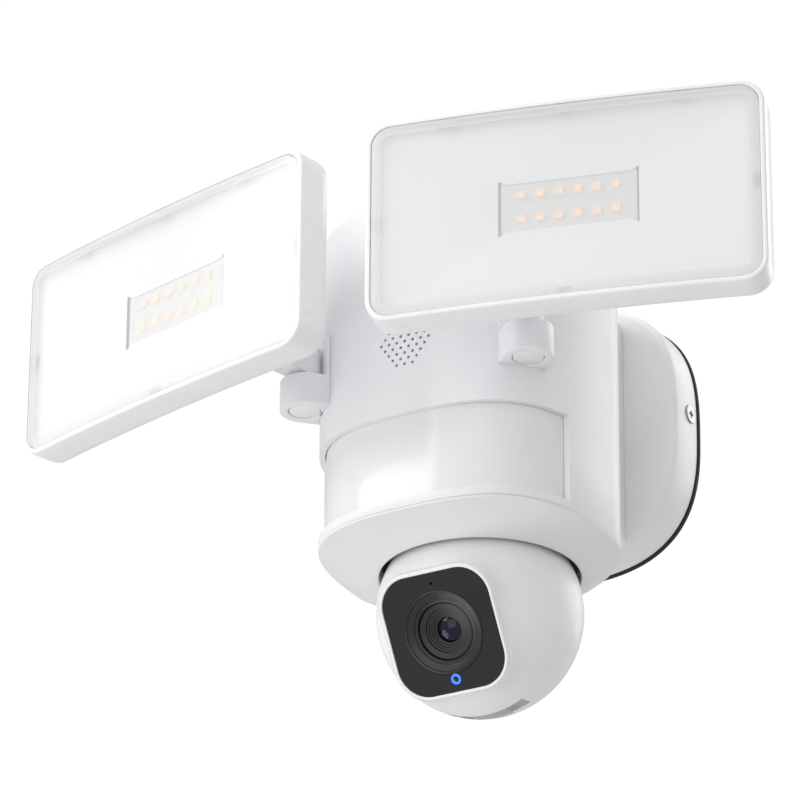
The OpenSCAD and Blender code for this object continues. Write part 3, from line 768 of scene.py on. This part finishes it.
def ear_outline(inset):
    """Side view of one hinge ear: a block from the panel's back to a round end."""
    r = EAR_R - inset
    points = [(EAR_ROOT_Y, ARM_Z - r)]
    for k in range(17):
        a = -math.pi / 2 + math.pi * k / 16
        points.append((-TILT_REACH + r * math.cos(a), ARM_Z + r * math.sin(a)))
    points.append((EAR_ROOT_Y, ARM_Z + r))
    return points


def make_lens(side, label):
    """Frosted lens; the strip round its edge is a little denser."""
    profile = [(2.3, 2.2), (2.3, 0.75), (2.4, 0.5), (2.7, 0.4), (6.4, 0.4), (12.0, 0.4), (20.0, 0.4),
               (30.0, 0.4), (40.0, 0.4), (44.0, 0.4)]
    border_steps = 4
    rings = [panel_ring(side, i, d) for i, d in profile]
    verts, faces = lofted(rings, cap_end=True)
    border = border_steps * len(rings[0])
    indices = [1 if k < border else 0 for k in range(len(faces))]
    body = label + "_panel"
    obj = mesh_object(label + "_panel_lens", verts, faces, [LENS, LENS_BORDER], body, indices)
    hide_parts(label + "_lens")
    make_lens_clips(side, label)


def make_lens_clips(side, label):
    """Small snap tabs behind the lens border."""
    top = PANEL_H / 2 - CLIP_INSET
    end = PANEL_W / 2 - CLIP_INSET
    parts = []
    for x, z, w, h in ((-48, top, 3, 1), (0, top, 3, 1), (48, top, 3, 1), (0, -top, 3, 1),
                       (-end, 0, 1, 3), (end, 0, 1, 3)):
        corners, quads = box_faces(x - w, x + w, 0.0, 1.2, z - h, z + h)
        parts.append(([at_panel(side, p, 1.0 + q, r) for p, q, r in corners], quads))
    verts, faces = joined(parts)
    clips = mesh_object(label + "_lens_clips", verts, faces, [INNER_GREY], label + "_panel")


# ---------- carried-over nodes ----------

def finish_small_parts():
    for label in ("left", "right"):
        softened(label + "_bracket", "housing", BODY_WHITE, 0.5)
        softened(label + "_arm", label + "_arm", WHITE, 0.6)
        softened(label + "_swivel_pin", label + "_arm", WHITE, 0.4)
        softened(label + "_tilt_pin", label + "_panel", SCREW_STEEL, 0.3)
        paint(label + "_heat_sink", ALUMINIUM)
        paint(label + "_led_board", LED_BOARD)
        paint(label + "_leds", LED_CHIP)
        paint(label + "_reflector", REFLECTOR)
    softened("neck", "housing", BODY_WHITE, 0.6)
    softened("base_screws", "housing", SCREW_STEEL, 0.2)
    softened("body_screws", "housing", SCREW_STEEL, 0.3)
    softened("wall_bracket", "housing", SCREW_STEEL, 0.3)
    softened("yoke", "pan_head", BLACK, 0.4)
    softened("sync_button", "sync_button", BLACK, 0.2)
    finishes = {
        BLUE_PLASTIC: ("terminal_block",),
        BOARD: ("power_board", "main_board", "wifi_antenna", "pir_board", "image_board"),
        INNER_GREY: ("pan_deck",),
        BLACK: ("speaker_driver",),
        ALUMINIUM: ("pir_sensors", "camera_chassis"),
        MOTOR: ("pan_motor", "tilt_motor"),
        GEAR: ("pan_pinion", "pan_gear", "tilt_pinion", "tilt_gear"),
        SCREW_STEEL: ("tilt_pins", "card_slot", "card_hinge_pin"),
        FACE_BLACK: ("face_glass",),
    }
    for mat, nodes in finishes.items():
        for node in nodes:
            paint(node, mat)


# ---------- studio ----------

def area_light(name, place, target, size, power, color=(1, 1, 1)):
    data = bpy.data.lights.new(name, "AREA")
    data.shape = "SQUARE"
    data.size = size
    data.energy = power
    data.color = color
    obj = bpy.data.objects.new(name, data)
    obj.location = place
    obj.rotation_euler = (Vector(target) - Vector(place)).to_track_quat("-Z", "Y").to_euler()
    bpy.context.scene.collection.objects.link(obj)


def make_studio():
    bpy.context.scene.view_settings.view_transform = "Standard"
    bpy.context.scene.view_settings.look = "None"
    world = bpy.data.worlds.new("studio")
    world.use_nodes = True
    nodes, links = world.node_tree.nodes, world.node_tree.links
    soft = nodes["Background"]
    soft.inputs["Color"].default_value = (1.0, 1.0, 1.0, 1.0)
    soft.inputs["Strength"].default_value = 0.62
    paper = nodes.new("ShaderNodeBackground")
    paper.inputs["Color"].default_value = (1.0, 1.0, 1.0, 1.0)
    paper.inputs["Strength"].default_value = 1.02
    path = nodes.new("ShaderNodeLightPath")
    mix = nodes.new("ShaderNodeMixShader")
    links.new(path.outputs["Is Camera Ray"], mix.inputs["Fac"])
    links.new(soft.outputs[0], mix.inputs[1])
    links.new(paper.outputs[0], mix.inputs[2])
    links.new(mix.outputs[0], nodes["World Output"].inputs["Surface"])
    bpy.context.scene.world = world
    middle = (0.0, -0.12, -0.03)
    area_light("key", (-0.9, -1.3, 0.75), middle, 0.9, 11)
    area_light("front_fill", (0.1, -1.9, -0.35), middle, 1.4, 7)
    area_light("low_left", (-1.1, -0.6, -1.0), middle, 0.9, 6)
    area_light("top", (0.0, -0.3, 1.4), middle, 1.2, 8)
    area_light("behind", (0.6, 1.2, 0.6), middle, 1.0, 6)


def make_camera():
    """Long lens, low on the right, looking up and aimed a little left of and above its target."""
    distance = 2.224
    lens_mm = 240.2
    turn = math.radians(28.55)
    rise = math.radians(-25.22)
    aim_left = math.radians(0.773)
    aim_up = math.radians(0.808)
    target = Vector((0.0, -0.095, -0.046))
    back = Vector((math.sin(turn) * math.cos(rise), -math.cos(turn) * math.cos(rise), math.sin(rise)))
    right = Vector((math.cos(turn), math.sin(turn), 0.0))
    up = right.cross(-back).normalized()
    aim = (-back - right * math.tan(aim_left) + up * math.tan(aim_up)).normalized()
    side = aim.cross(up).normalized()
    top = side.cross(aim)
    data = bpy.data.cameras.new("camera")
    data.sensor_width = 36.0
    data.lens = lens_mm
    data.clip_start = 0.1
    data.clip_end = 20.0
    cam = bpy.data.objects.new("camera", data)
    turned_frame = Matrix((side, top, -aim)).transposed()
    cam.matrix_world = Matrix.Translation(target + back * distance) @ turned_frame.to_4x4()
    bpy.context.scene.collection.objects.link(cam)
    bpy.context.scene.camera = cam


make_body()
make_bezel()
make_window()
make_base()
make_ball()
make_lens_ring()
make_lens_barrel()
make_lens_glass()
make_status_light()
make_card_cover()
for side, label in ((-1, "left"), (1, "right")):
    make_housing(side, label)
    make_lens(side, label)
finish_small_parts()
make_studio()
make_camera()
